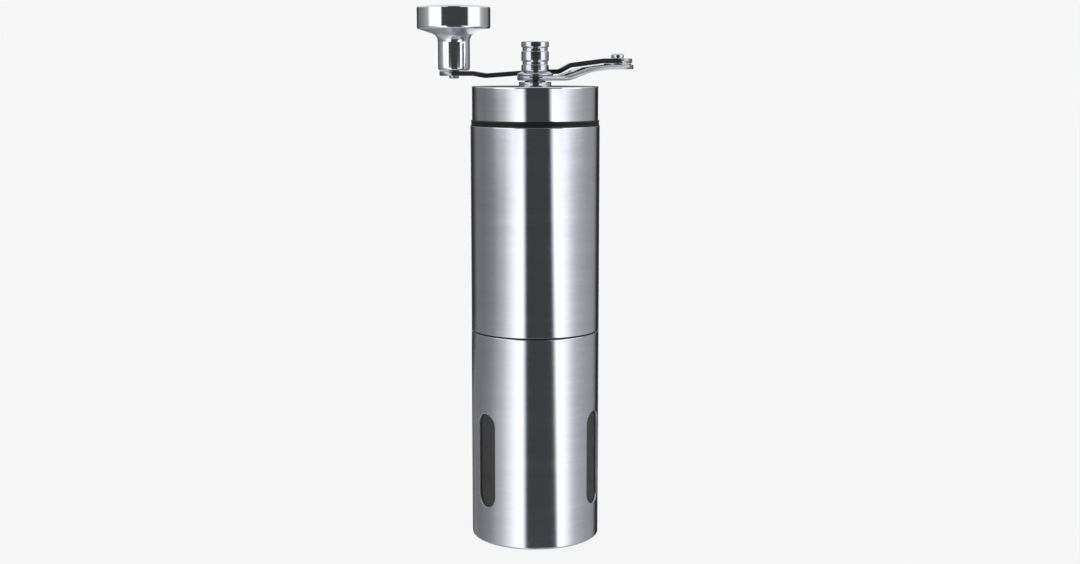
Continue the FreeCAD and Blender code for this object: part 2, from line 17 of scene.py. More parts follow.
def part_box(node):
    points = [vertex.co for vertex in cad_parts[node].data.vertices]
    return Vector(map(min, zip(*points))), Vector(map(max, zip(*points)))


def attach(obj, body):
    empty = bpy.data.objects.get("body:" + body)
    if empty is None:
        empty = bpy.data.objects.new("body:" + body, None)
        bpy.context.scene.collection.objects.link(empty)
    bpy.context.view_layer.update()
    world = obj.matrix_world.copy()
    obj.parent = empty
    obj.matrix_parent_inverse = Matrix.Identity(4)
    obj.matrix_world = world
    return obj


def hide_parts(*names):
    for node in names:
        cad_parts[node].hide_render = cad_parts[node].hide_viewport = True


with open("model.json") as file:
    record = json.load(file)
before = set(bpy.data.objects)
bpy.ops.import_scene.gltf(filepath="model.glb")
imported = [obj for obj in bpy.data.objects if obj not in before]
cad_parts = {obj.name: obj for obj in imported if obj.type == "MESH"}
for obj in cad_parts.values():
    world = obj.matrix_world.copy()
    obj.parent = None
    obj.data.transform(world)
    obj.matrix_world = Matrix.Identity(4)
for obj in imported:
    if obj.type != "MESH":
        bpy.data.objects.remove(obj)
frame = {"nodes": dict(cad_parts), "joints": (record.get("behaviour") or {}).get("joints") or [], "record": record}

LOG = logging.getLogger("grinder")
MM = 0.001
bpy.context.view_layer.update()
BODY_OF = {node: body for body, nodes in frame["record"]["behaviour"]["bodies"].items() for node in nodes}
JOINT = {joint["name"]: joint for joint in frame["joints"]}
BACKDROP = "#F7F7F7"

# A noise stays mostly inside these ends, and two added noises inside twice them.
ONE_NOISE = {"From Min": 0.3, "From Max": 0.7}
TWO_NOISES = {"From Min": 0.6, "From Max": 1.4}
# How finely the noises of tool marks, of clouds in the colour and of rubbing are broken up.
MARK_DETAIL = 3.0
CLOUD_DETAIL = 2.0
RUB_DETAIL = 4.0
# Faces that meet at more than the first angle keep an edge, and at less than the second become one.
SMOOTH_DEG = 32.0
FLAT_DEG = 0.5
# Points this near to each other, or to an axis, are one. A shell's corners are one if these digits agree.
MERGE_REACH = 0.002 * MM
AXIS_REACH = 0.0001 * MM
PLACE_DIGITS = 7
FITTING_GAP = 0.05 * MM
FINE_EDGE = 0.1 * MM
# Faces across an eased edge, and how round it is.
EASE_FACES = 2
EASE_ROUNDNESS = 0.5
# Faces across a turned corner, the short runs beside it, and the share of a side that it may take.
CORNER_FACES = 6
GUARD_RUN = 0.25 * MM
MOST_OF_SIDE = 0.48
# Faces round a body, round the hub's pieces and round the rivet.
BODY_FACES = 128
HUB_FACES = 96
RIVET_FACES = 64

Corner = tuple[float, float, float]
Point = tuple[float, float]
Span = tuple[float, float]
Light = tuple[float, float]
Ends = dict[str, float]
Inputs = dict[str | int, Any]


class Grain(Enum):
    """Which way the marks of the last tool run on a metal piece."""

    ROUND = "round the piece's own upright axis"
    ALONG = "along the strip"


def linear(colour: str) -> tuple[float, float, float, float]:
    """Turn an sRGB hex colour to linear light.

    Args:
        colour: Six hex digits after a hash sign.

    Returns:
        Red, green, blue and an alpha of one.
    """
    channels = [int(colour[at:at + 2], 16) / 255 for at in (1, 3, 5)]
    lit = [c / 12.92 if c <= 0.04045 else ((c + 0.055) / 1.055) ** 2.4 for c in channels]
    return (lit[0], lit[1], lit[2], 1.0)


def set_inputs(tree: NodeTree, node: Node, inputs: Inputs) -> None:
    """Set or link a node's inputs, among those that its settings leave in use.

    Args:
        tree: The tree that the node is in.
        node: The node.
        inputs: Values, output sockets, or nodes that stand for their first output, by name or number.
    """
    for key, value in inputs.items():
        if isinstance(key, int):
            target = node.inputs[key]
        else:
            target = next(one for one in node.inputs if one.name == key and one.enabled)
        if isinstance(value, Node):
            value = next(one for one in value.outputs if one.enabled)
        if isinstance(value, NodeSocket):
            tree.links.new(value, target)
        else:
            target.default_value = value


def add_node(tree: NodeTree, kind: str, inputs: Inputs | None = None, **settings: Any) -> Node:
    """Add one node with its settings, values and links.

    Args:
        tree: The tree that the node goes into.
        kind: The node's type name.
        inputs: Its inputs, as set_inputs takes them.
        **settings: Attributes to set on the node.

    Returns:
        The new node.
    """
    node = tree.nodes.new(kind)
    for name, value in settings.items():
        setattr(node, name, value)
    set_inputs(tree, node, inputs or {})
    return node


@dataclass(frozen=True)
class Finish:
    """What every finish has: a colour, and a roughness that a noise swings about its mean."""

    name: str
    colour: str
    roughness: float

    @cache
    def material(self) -> Material:
        """Build the finish, the first time that it is asked for.

        Returns:
            The material.
        """
        material = bpy.data.materials.new(self.name)
        material.use_nodes = True
        tree = material.node_tree
        self.connect(tree, tree.nodes["Principled BSDF"])
        return material

    def connect(self, tree: NodeTree, shader: Node) -> None:
        """Set the shader, and lay out the nodes before it."""
        raise NotImplementedError

    def roughened(self, tree: NodeTree, noise: Node, ends: Ends, swing: float) -> Node:
        """Swing the roughness with a noise.

        Args:
            tree: The material's tree.
            noise: The noise.
            ends: The ends that the noise stays inside.
            swing: How far the roughness goes either way, as a share of it.

        Returns:
            The roughness.
        """
        return add_node(tree, "ShaderNodeMapRange", {
            "Value": noise, **ends,
            "To Min": self.roughness * (1 - swing), "To Max": self.roughness * (1 + swing)})

    def shaded(self, tree: NodeTree, noise: Node, ends: Ends, depth: float) -> Node:
        """Darken the colour with a noise.

        Args:
            tree: The material's tree.
            noise: The noise.
            ends: The ends that the noise stays inside.
            depth: How much darker the colour gets, as a share of it.

        Returns:
            The colour.
        """
        shade = add_node(tree, "ShaderNodeMapRange", {"Value": noise, **ends, "To Min": 1 - depth})
        return add_node(tree, "ShaderNodeMix", {"Factor": 1.0, "A": linear(self.colour), "B": shade},
                        data_type="RGBA", blend_type="MULTIPLY")


@dataclass(frozen=True)
class SteelFinish(Finish):
    """Stainless steel with the marks of its last tool.

    The marks spread a highlight across themselves, so a body that is brushed round shows upright bands.
    """

    mark_mm: float
    mark_depth_mm: float
    unevenness: float
    anisotropy: float = 0.0
    grain: Grain = Grain.ROUND
    centre: Point = (0.0, 0.0)
    turn_deg: float = 0.0
    run_mm: float = 30.0
    end_roughness: float = 0.0
    round_side: Span = (0.6, 0.97)
    broad_scale: float = 0.13
    rough_swing: float = 0.4
    shade_swing: float = 0.3
    across_marks: float = 0.25

    def from_axis(self, tree: NodeTree) -> tuple[Node, NodeSocket]:
        """Give the place beside the piece's upright axis, level with it.

        Args:
            tree: The material's tree.

        Returns:
            The level vector from the axis, and the height.
        """
        place = add_node(tree, "ShaderNodeTexCoord").outputs["Object"]
        shift = (-self.centre[0], -self.centre[1], 0.0)
        centred = add_node(tree, "ShaderNodeMapping", {"Vector": place, "Location": shift})
        parts = add_node(tree, "ShaderNodeSeparateXYZ", {0: centred}).outputs
        level = add_node(tree, "ShaderNodeCombineXYZ", {"X": parts["X"], "Y": parts["Y"]})
        return level, parts["Z"]

    def marks(self, tree: NodeTree) -> Node:
        """Give a place along and across the marks.

        Args:
            tree: The material's tree.

        Returns:
            A vector whose Z counts marks and whose X and Y change slowly along one.
        """
        run, mark = 1 / (self.run_mm * MM), 1 / (self.mark_mm * MM)
        if self.grain is Grain.ALONG:
            place = add_node(tree, "ShaderNodeTexCoord").outputs["Object"]
            turn = (0.0, 0.0, math.radians(-self.turn_deg))
            turned = add_node(tree, "ShaderNodeMapping", {"Vector": place, "Rotation": turn})
            return add_node(tree, "ShaderNodeMapping", {"Vector": turned, "Scale": (run, mark, mark)})
        level, height = self.from_axis(tree)
        reach = add_node(tree, "ShaderNodeVectorMath", {0: level}, operation="LENGTH")
        across = add_node(tree, "ShaderNodeMath", {0: reach, 1: height})
        counted = add_node(tree, "ShaderNodeMath", {0: across, 1: mark}, operation="MULTIPLY")
        upright = add_node(tree, "ShaderNodeCombineXYZ", {"Z": counted})
        along = add_node(tree, "ShaderNodeVectorMath", {0: level, "Scale": run}, operation="SCALE")
        return add_node(tree, "ShaderNodeVectorMath", {0: along, 1: upright})

    def dulled(self, tree: NodeTree, rough: Node) -> Node:
        """Dull the faces that turn away from the round side, such as cut edges and cones.

        Args:
            tree: The material's tree.
            rough: The roughness of the round side.

        Returns:
            The roughness all over.
        """
        level, _ = self.from_axis(tree)
        outwards = add_node(tree, "ShaderNodeVectorMath", {0: level}, operation="NORMALIZE")
        normal = add_node(tree, "ShaderNodeTexCoord").outputs["Normal"]
        facing = add_node(tree, "ShaderNodeVectorMath", {0: normal, 1: outwards}, operation="DOT_PRODUCT")
        start, end = self.round_side
        is_round = add_node(tree, "ShaderNodeMapRange", {
            "Value": facing, "From Min": start, "From Max": end})
        return add_node(tree, "ShaderNodeMix", {"Factor": is_round, "A": self.end_roughness, "B": rough})

    def connect(self, tree: NodeTree, shader: Node) -> None:
        """Set the shader, and lay out the nodes before it.

        Args:
            tree: The material's tree.
            shader: The material's shader.
        """
        place = self.marks(tree)
        fine = add_node(tree, "ShaderNodeTexNoise", {"Vector": place, "Scale": 1.0, "Detail": MARK_DETAIL})
        broad = add_node(tree, "ShaderNodeTexNoise", {
            "Vector": place, "Scale": self.broad_scale, "Detail": CLOUD_DETAIL})
        both = add_node(tree, "ShaderNodeMath", {0: fine, 1: broad})
        rough = self.roughened(tree, both, TWO_NOISES, self.rough_swing * self.unevenness)
        bump = add_node(tree, "ShaderNodeBump", {
            "Height": fine, "Strength": 1.0, "Distance": self.mark_depth_mm * MM})
        set_inputs(tree, shader, {
            "Base Color": self.shaded(tree, both, TWO_NOISES, self.shade_swing * self.unevenness),
            "Roughness": self.dulled(tree, rough) if self.end_roughness else rough,
            "Normal": bump, "Metallic": 1.0,
            "Anisotropic": self.anisotropy, "Anisotropic Rotation": self.across_marks})
        if self.anisotropy and self.grain is Grain.ROUND:
            tangent = add_node(tree, "ShaderNodeTangent", direction_type="RADIAL", axis="Z")
            set_inputs(tree, shader, {"Tangent": tangent})


@dataclass(frozen=True)
class MouldedFinish(Finish):
    """Moulded plastic or rubber, or fired ceramic or bronze, with a fine even grain all over."""

    grain_mm: float
    grain_depth_mm: float
    ior: float = 1.5
    mottle: float = 0.1
    metallic: float = 0.0
    subsurface: float = 0.0
    subsurface_mm: float = 1.0
    gloss: float = 0.5
    cloud_share: float = 0.08
    rough_swing: float = 0.15

    def connect(self, tree: NodeTree, shader: Node) -> None:
        """Set the shader, and lay out the nodes before it.

        Args:
            tree: The material's tree.
            shader: The material's shader.
        """
        place = add_node(tree, "ShaderNodeTexCoord").outputs["Object"]
        scale = 1 / (self.grain_mm * MM)
        grain = add_node(tree, "ShaderNodeTexNoise", {
            "Vector": place, "Scale": scale, "Detail": MARK_DETAIL})
        cloud = add_node(tree, "ShaderNodeTexNoise", {
            "Vector": place, "Scale": self.cloud_share * scale, "Detail": CLOUD_DETAIL})
        bump = add_node(tree, "ShaderNodeBump", {
            "Height": grain, "Strength": 1.0, "Distance": self.grain_depth_mm * MM})
        set_inputs(tree, shader, {
            "Base Color": self.shaded(tree, cloud, ONE_NOISE, self.mottle),
            "Roughness": self.roughened(tree, grain, ONE_NOISE, self.rough_swing),
            "Normal": bump, "Metallic": self.metallic,
            "Subsurface Weight": self.subsurface, "Subsurface Scale": self.subsurface_mm * MM})
        if not self.metallic:
            set_inputs(tree, shader, {"IOR": self.ior, "Specular IOR Level": self.gloss})


@dataclass(frozen=True)
class SmokedFinish(Finish):
    """Clear smoked plastic: glossy, dark in depth and faintly rubbed inside."""

    rub_mm: float
    clearness: float
    ior: float
    gloss: float = 1.0
    rough_swing: float = 0.5

    def connect(self, tree: NodeTree, shader: Node) -> None:
        """Set the shader, and lay out the nodes before it.

        Args:
            tree: The material's tree.
            shader: The material's shader.
        """
        place = add_node(tree, "ShaderNodeTexCoord").outputs["Object"]
        rub = add_node(tree, "ShaderNodeTexNoise", {
            "Vector": place, "Scale": 1 / (self.rub_mm * MM), "Detail": RUB_DETAIL})
        set_inputs(tree, shader, {
            "Base Color": linear(self.colour),
            "Roughness": self.roughened(tree, rub, ONE_NOISE, self.rough_swing),
            "IOR": self.ior, "Transmission Weight": self.clearness, "Specular IOR Level": self.gloss})


@dataclass(frozen=True)
class PaperFinish(Finish):
    """Matt paper that is lit through, so that it looks even and shows only soft shadows."""

    glow_colour: str
    glow: float

    def connect(self, tree: NodeTree, shader: Node) -> None:
        """Set the shader, which needs no nodes before it."""
        set_inputs(tree, shader, {
            "Base Color": linear(self.colour), "Roughness": self.roughness, "Specular IOR Level": 0.0,
            "Emission Color": linear(self.glow_colour), "Emission Strength": self.glow})


# Stainless tube brushed round: soft upright bands. The brushing, 0.1 mm apart, is drawn coarser to show.
CASING = SteelFinish("brushed_stainless", "#C7C9D2", roughness=0.12, anisotropy=0.5, mark_mm=0.6,
                     mark_depth_mm=0.0004, unevenness=0.3, run_mm=7.0)
# The same tube with punched windows, whose cut edges are dull.
CHAMBER_STEEL = replace(CASING, name="brushed_stainless_chamber", roughness=0.14, end_roughness=0.38)
# Pressed stainless, brushed more finely: the bands have sharper edges, and the top is brighter.
CAP_STEEL = replace(CASING, name="brushed_stainless_cap", roughness=0.075, anisotropy=0.0,
                    end_roughness=0.04)
# Stainless bar, turned and polished: hard bright bands. Its rings, 0.1 mm apart, are drawn at 0.3 mm.
HUB_STEEL = SteelFinish("turned_stainless", "#ACAEB4", roughness=0.05, mark_mm=0.3, mark_depth_mm=0.0001,
                        unevenness=0.2)
# A paler bar, polished on its round sides alone: the cone under the knob's head is soft and hazy.
KNOB_STEEL = replace(HUB_STEEL, name="turned_stainless_knob", colour="#CDD0D5", end_roughness=0.34)
# A bar turned and left without a polish: its bands are blurred.
RIVET_STEEL = replace(HUB_STEEL, name="turned_stainless_rivet", colour="#B9BCC1", roughness=0.12,
                      mark_depth_mm=0.0003)
# Stamped stainless strip, brushed along its length: a grey sheen. The brushing is drawn coarser to show.
STRIP_STEEL = SteelFinish("brushed_strip", "#96989E", roughness=0.12, mark_mm=0.4, mark_depth_mm=0.0008,
                          unevenness=0.35, grain=Grain.ALONG, run_mm=25.0)
# Drawn wire and stamped spring steel: a grey satin.
SPRING = SteelFinish("drawn_spring_steel", "#A9AAAC", roughness=0.3, anisotropy=0.2, mark_mm=0.3,
                     mark_depth_mm=0.0008, unevenness=0.3)
# Moulded ABS: black, its gloss broken down by a fine even grain.
BLACK = MouldedFinish("moulded_black_abs", "#0E0F10", roughness=0.46, ior=1.54, grain_mm=0.35,
                      grain_depth_mm=0.004, gloss=0.22)
# Moulded silicone: black and dull.
SEAL = MouldedFinish("moulded_black_silicone", "#1A1A1B", roughness=0.62, ior=1.43, grain_mm=0.5,
                     grain_depth_mm=0.006)
# Pressed and fired ceramic without a glaze: warm white, softly shaded.
CERAMIC = MouldedFinish("fired_white_ceramic", "#ECE8DF", roughness=0.38, ior=1.6, grain_mm=0.3,
                        grain_depth_mm=0.006, mottle=0.06, subsurface=0.15)
# Sintered bronze: a dull, faintly patchy gold.
BRONZE = MouldedFinish("sintered_bearing_bronze", "#B08A52", roughness=0.36, grain_mm=0.25,
                       grain_depth_mm=0.006, mottle=0.2, metallic=1.0)
# Moulded nylon without a dye: milky and soft.
NYLON = MouldedFinish("natural_nylon", "#DCD7C8", roughness=0.45, ior=1.53, grain_mm=0.4,
                      grain_depth_mm=0.003, mottle=0.05, subsurface=0.2)
# Moulded clear plastic with a smoke tint, rubbed inside: dark, with a blurred gloss.
SMOKED = SmokedFinish("smoked_clear_plastic", "#242527", roughness=0.5, rub_mm=6.0, clearness=0.75,
                      ior=1.58)
# Thin white paper lit from behind: an even pale floor.
PAPER = PaperFinish("pale_paper", "#3A3A3A", roughness=1.0, glow_colour=BACKDROP, glow=0.952)


def linked(name: str, data: ID) -> Object:
    """Make an object and link it into the scene.

    Args:
        name: The object's name.
        data: Its mesh or camera.

    Returns:
        The object.
    """
    made = bpy.data.objects.new(name, data)
    bpy.context.scene.collection.objects.link(made)
    return made


def object_from(name: str, shape: BMesh) -> Object:
    """Make a mesh object from a shape.

    Args:
        name: The object's name.
        shape: The shape, which is freed.

    Returns:
        The object.
    """
    mesh = bpy.data.meshes.new(name)
    shape.to_mesh(mesh)
    shape.free()
    return linked(name, mesh)


def finish_mesh(mesh: Mesh, crease_deg: float = SMOOTH_DEG) -> None:
    """Shade a mesh smooth, with edges kept where faces meet at more than an angle."""
    mesh.shade_smooth()
    mesh.set_sharp_from_angle(angle=math.radians(crease_deg))


def make_plain(piece: Object) -> None:
    """Turn a piece and its modifiers into a plain mesh.

    Args:
        piece: The piece.
    """
    evaluated = piece.evaluated_get(bpy.context.evaluated_depsgraph_get())
    piece.data = bpy.data.meshes.new_from_object(evaluated)
    piece.modifiers.clear()


def add_face(shape: BMesh, corners: list[BMVert]) -> None:
    """Add a face to a shape, unless its corners fall on a line.

    Args:
        shape: The shape.
        corners: The face's corners, of which the same one may come twice.
    """
    unique = list(dict.fromkeys(corners))
    if len(unique) > 2:
        shape.faces.new(unique)


def stitch(shape: BMesh, ring: list[BMVert], next_ring: list[BMVert]) -> None:
    """Join two closed rings of corners with faces.

    Args:
        shape: The shape that they are in.
        ring: The one ring.
        next_ring: The other, with as many corners.
    """
    for step in range(len(ring)):
        ahead = (step + 1) % len(ring)
        add_face(shape, [ring[step], ring[ahead], next_ring[ahead], next_ring[step]])


def rounded(corners: list[Corner], closed: bool) -> list[Point]:
    """Draw an outline with its corners rounded, and short guard runs beside each rounding.

    Args:
        corners: Radius, height and rounding of each corner.
        closed: Whether the last corner joins the first.

    Returns:
        The outline's points.
    """
    count = len(corners)
    points: list[Point] = []
    for index, (radius, height, rounding) in enumerate(corners):
        is_end = not closed and index in (0, count - 1)
        if rounding <= 0 or is_end:
            points.append((radius, height))
            continue
        here = Vector((radius, height))
        back = Vector(corners[index - 1][:2]) - here
        ahead = Vector(corners[(index + 1) % count][:2]) - here
        to_back, to_ahead = back.normalized(), ahead.normalized()
        half = back.angle(ahead) / 2
        reach = min(rounding / math.tan(half), MOST_OF_SIDE * back.length, MOST_OF_SIDE * ahead.length)
        real = reach * math.tan(half)
        start, end = here + to_back * reach, here + to_ahead * reach
        middle = here + (to_back + to_ahead).normalized() * (real / math.sin(half))
        sweep = (start - middle).angle_signed(end - middle)
        if back.length > reach + 2 * GUARD_RUN:
            points.append(tuple(start + to_back * GUARD_RUN))
        for step in range(CORNER_FACES + 1):
            turn = Matrix.Rotation(-sweep * step / CORNER_FACES, 2)
            points.append(tuple(middle + turn @ (start - middle)))
        if ahead.length > reach + 2 * GUARD_RUN:
            points.append(tuple(end + to_ahead * GUARD_RUN))
    return points


def turned_piece(name: str, corners: list[Corner], closed: bool, centre: Point, faces: int) -> Object:
    """Turn an outline about an upright axis.

    Args:
        name: The piece's name.
        corners: Radius, height and rounding of each corner.
        closed: Whether the outline is a ring clear of the axis.
        centre: Where the axis stands.
        faces: Faces round the piece.

    Returns:
        The piece.
    """
    shape = bmesh.new()
    rings: list[list[BMVert]] = []
    for radius, height in rounded(corners, closed):
        if radius < AXIS_REACH:
            rings.append([shape.verts.new((centre[0], centre[1], height))] * faces)
            continue
        ring: list[BMVert] = []
        for angle in (math.tau * step / faces for step in range(faces)):
            x, y = centre[0] + radius * math.cos(angle), centre[1] + radius * math.sin(angle)
            ring.append(shape.verts.new((x, y, height)))
        rings.append(ring)
    if closed:
        rings.append(rings[0])
    for ring, next_ring in zip(rings, rings[1:]):
        stitch(shape, ring, next_ring)
    bmesh.ops.recalc_face_normals(shape, faces=shape.faces)
    piece = object_from(name, shape)
    finish_mesh(piece.data)
    return piece


def ease_edges(shape: BMesh, width: float, crease_deg: float, low: float = -math.inf,
               high: float = math.inf) -> None:
    """Ease the sharp edges of a shape.

    Args:
        shape: The shape.
        width: Width of the eased edges.
        crease_deg: Angle past which an edge counts as sharp.
        low: Height above which edges are eased.
        high: Height below which edges are eased.
    """
    limit = math.radians(crease_deg)
    sharp = [edge for edge in shape.edges
             if edge.is_manifold and edge.calc_face_angle() > limit
             and all(low < end.co.z < high for end in edge.verts)]
    bmesh.ops.bevel(shape, geom=sharp, offset=width, segments=EASE_FACES, profile=EASE_ROUNDNESS,
                    affect="EDGES", clamp_overlap=True)


def eased_copy(node: str, ease_mm: float) -> Object:
    """Copy a node's mesh with its triangles joined and its sharp edges eased.

    Args:
        node: The node to copy.
        ease_mm: Width of the eased edges, or zero to leave them sharp.

    Returns:
        The copy.
    """
    shape = bmesh.new()
    shape.from_mesh(frame["nodes"][node].data)
    bmesh.ops.remove_doubles(shape, verts=shape.verts, dist=MERGE_REACH)
    bmesh.ops.dissolve_limit(shape, angle_limit=math.radians(FLAT_DEG), verts=shape.verts,
                             edges=shape.edges)
    if ease_mm > 0:
        ease_edges(shape, ease_mm * MM, SMOOTH_DEG)
    piece = object_from(node + "_eased", shape)
    finish_mesh(piece.data)
    return piece


def settle(piece: Object, node: str, finish: Finish) -> None:
    """Give a piece its finish and let it stand for a node of the frame.

    Args:
        piece: The piece.
        node: The node that it stands for.
        finish: Its finish.
    """
    piece.data.materials.clear()
    piece.data.materials.append(finish.material())
    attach(piece, BODY_OF[node])
    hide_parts(node)
    LOG.info("%s stands for %s on %s", piece.name, node, BODY_OF[node])


class SubAssembly:
    """A group of pieces that come off the grinder together."""

    def build(self) -> None:
        """Make and dress the pieces."""
        raise NotImplementedError

    def dress(self, node: str, finish: Finish, ease_mm: float = 0.0) -> None:
        """Dress an eased copy of a node."""
        settle(eased_copy(node, ease_mm), node, finish)

    def turn(self, node: str, corners: list[Corner], finish: Finish, closed: bool = True,
             centre: Point = (0.0, 0.0), faces: int = BODY_FACES) -> None:
        """Turn and dress a piece that stands for a node, from an outline as turned_piece takes it."""
        settle(turned_piece(node + "_turned", corners, closed, centre, faces), node, finish)


class Skin:
    """A thin round skin, whose faces share the corners that fall on one place."""

    def __init__(self) -> None:
        """Start with no faces."""
        self.shape = bmesh.new()
        self.corners: dict[tuple[float, ...], BMVert] = {}

    def corner(self, reach: float, angle: float, height: float) -> BMVert:
        """Give the one corner at a place.

        Args:
            reach: Distance from the axis.
            angle: Angle from the front, to the right.
            height: Height over the base.

        Returns:
            The corner.
        """
        place = (reach * math.sin(angle), -reach * math.cos(angle), height)
        key = tuple(round(part, PLACE_DIGITS) for part in place)
        if key not in self.corners:
            self.corners[key] = self.shape.verts.new(place)
        return self.corners[key]


@dataclass
class Chamber(SubAssembly):
    """The lower shell with its round-ended windows, and the smoked cup behind them."""

    wall: float = 0.8 * MM
    base_edge: float = 0.9 * MM
    window_angles_deg: tuple[float, ...] = (-49.5, 64.5, 187.5)
    window_width: float = 9.2 * MM
    window_height: float = 35.4 * MM
    window_middle: float = 31.7 * MM
    window_margin: float = 3.2 * MM
    columns: int = 20
    rows: int = 40
    plain_columns: int = 30
    rows_below: int = 5
    rows_above: int = 12
    edge_steps: int = 8
    edge_guard: float = 0.3 * MM
    base_shares: tuple[float, ...] = (0.0, 0.3, 0.6, 0.85)
    patch_shares: tuple[float, ...] = (0.0, 0.08, 0.3, 0.62, 1.0)
    window_ease: float = 0.36 * MM
    top_ease: float = 0.1 * MM
    crease_deg: float = 50.0
    cup_wall: float = 1.3 * MM
    cup_floor: float = 1.5 * MM
    cup_edge: float = 0.4 * MM
    cup_corner: float = 1.2 * MM

    def across(self) -> list[float]:
        """Give the offsets of the skin's columns from a window's middle."""
        half = self.window_width / 2 + self.window_margin
        return [half * (2 * step / self.columns - 1) for step in range(self.columns + 1)]

    def beside(self) -> list[float]:
        """Give the heights of the skin's rows beside a window.

        Returns:
            The heights, from below the window to above it.
        """
        half = self.window_height / 2 + self.window_margin
        low, high = self.window_middle - half, self.window_middle + half
        return [low + (high - low) * step / self.rows for step in range(self.rows + 1)]

    def column_angles(self, radius: float) -> tuple[list[float], list[int]]:
        """Give the skin's columns.

        Args:
            radius: The skin's radius.

        Returns:
            The columns' angles, and the number of each window's first one.
        """
        angles: list[float] = []
        firsts: list[int] = []
        across = self.across()
        half_angle = math.asin(across[-1] / radius)
        middles = [math.radians(degrees) for degrees in self.window_angles_deg]
        for middle, following in zip(middles, middles[1:] + [middles[0] + math.tau]):
            firsts.append(len(angles))
            angles += [middle + math.asin(offset / radius) for offset in across]
            gap = following - middle - 2 * half_angle
            angles += [middle + half_angle + gap * step / self.plain_columns
                       for step in range(1, self.plain_columns)]
        return angles, firsts

    def row_places(self, radius: float, top: float) -> tuple[list[Point], int]:
        """Give the skin's rows, from the middle of the base to the top.

        Args:
            radius: The skin's radius.
            top: The skin's top.

        Returns:
            Each row's distance from the axis and height, and the number of the windows' first one.
        """
        edge = self.base_edge
        turns = [math.pi / 2 * step / self.edge_steps for step in range(self.edge_steps + 1)]
        base = [(radius * share, 0.0) for share in self.base_shares]
        base += [(radius - edge + edge * math.sin(turn), edge * (1 - math.cos(turn))) for turn in turns]
        beside = self.beside()
        foot, brow = edge + self.edge_guard, top - self.edge_guard
        below = [foot + (beside[0] - foot) * step / self.rows_below for step in range(self.rows_below)]
        above = [beside[-1] + (brow - beside[-1]) * step / self.rows_above
                 for step in range(1, self.rows_above + 1)]
        side = [(radius, height) for height in below + beside + above + [top]]
        return base + side, len(base) + len(below)

    def shell(self) -> Object:
        """Lay out the shell as a skin with windows, then give it its wall and eased edges.

        Returns:
            The shell.
        """
        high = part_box("chamber_shell")[1]
        radius = high.x
        skin = Skin()
        angles, firsts = self.column_angles(radius)
        places, first_row = self.row_places(radius, high.z)
        in_window = {
            (row, first + column) for first in firsts for column in range(self.columns)
            for row in range(first_row, first_row + self.rows)}
        for row, (lower, upper) in enumerate(zip(places, places[1:])):
            for column, angle in enumerate(angles):
                if (row, column) in in_window:
                    continue
                following = angles[(column + 1) % len(angles)]
                add_face(skin.shape, [
                    skin.corner(lower[0], angle, lower[1]), skin.corner(lower[0], following, lower[1]),
                    skin.corner(upper[0], following, upper[1]), skin.corner(upper[0], angle, upper[1])])
        for degrees in self.window_angles_deg:
            self.window_patch(skin, radius, math.radians(degrees))
        bmesh.ops.recalc_face_normals(skin.shape, faces=skin.shape.faces)
        piece = object_from("chamber_shell_windowed", skin.shape)
        wall = piece.modifiers.new("wall", "SOLIDIFY")
        wall.thickness, wall.offset, wall.use_even_offset = self.wall, -1.0, True
        make_plain(piece)
        self.ease_shell(piece.data)
        return piece

    def window_edge(self, across: float, up: float) -> Point:
        """Give the point of a window's edge nearest to a point outside it.

        Args:
            across: The point's offset from the window's middle.
            up: Its height over the window's middle.

        Returns:
            The edge's offset and height there.
        """
        radius = self.window_width / 2
        run = self.window_height / 2 - radius
        level = max(-run, min(run, up))
        way = Vector((across, up - level)).normalized() * radius
        return (way.x, level + way.y)

    def window_patch(self, skin: Skin, radius: float, middle: float) -> None:
        """Fill the skin between one window's edge and the square of the skin's grid round it.

        Args:
            skin: The skin.
            radius: The skin's radius.
            middle: The window's angle.
        """
        across = self.across()
        ups = [height - self.window_middle for height in self.beside()]
        square = [(x, ups[0]) for x in across[:-1]] + [(across[-1], up) for up in ups[:-1]]
        square += [(x, ups[-1]) for x in across[:0:-1]] + [(across[0], up) for up in ups[:0:-1]]
        rings: list[list[BMVert]] = []
        for share in self.patch_shares:
            ring: list[BMVert] = []
            for x, up in square:
                edge = self.window_edge(x, up)
                place = (edge[0] + (x - edge[0]) * share, edge[1] + (up - edge[1]) * share)
                angle = middle + math.asin(place[0] / radius)
                ring.append(skin.corner(radius, angle, self.window_middle + place[1]))
            rings.append(ring)
        for inner, outer in zip(rings, rings[1:]):
            stitch(skin.shape, inner, outer)

    def ease_shell(self, mesh: Mesh) -> None:
        """Ease the shell's edges, those of the windows more than the top's.

        Args:
            mesh: The shell's mesh.
        """
        beside = self.beside()
        shape = bmesh.new()
        shape.from_mesh(mesh)
        ease_edges(shape, self.window_ease, self.crease_deg, beside[0], beside[-1])
        ease_edges(shape, self.top_ease, self.crease_deg, beside[-1])
        shape.to_mesh(mesh)
        shape.free()
        finish_mesh(mesh)

    def build(self) -> None:
        """Make and dress the chamber's pieces."""
        settle(self.shell(), "chamber_shell", CHAMBER_STEEL)
        low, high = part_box("chamber_cup")
        outer, inner = high.x, high.x - self.cup_wall
        floor = low.z + self.cup_floor
        edge = self.cup_edge
        self.turn("chamber_cup", [
            (0.0, low.z, 0.0), (outer, low.z, edge), (outer, high.z, edge), (inner, high.z, edge),
            (inner, floor, self.cup_corner), (0.0, floor, 0.0)], SMOKED, closed=False)


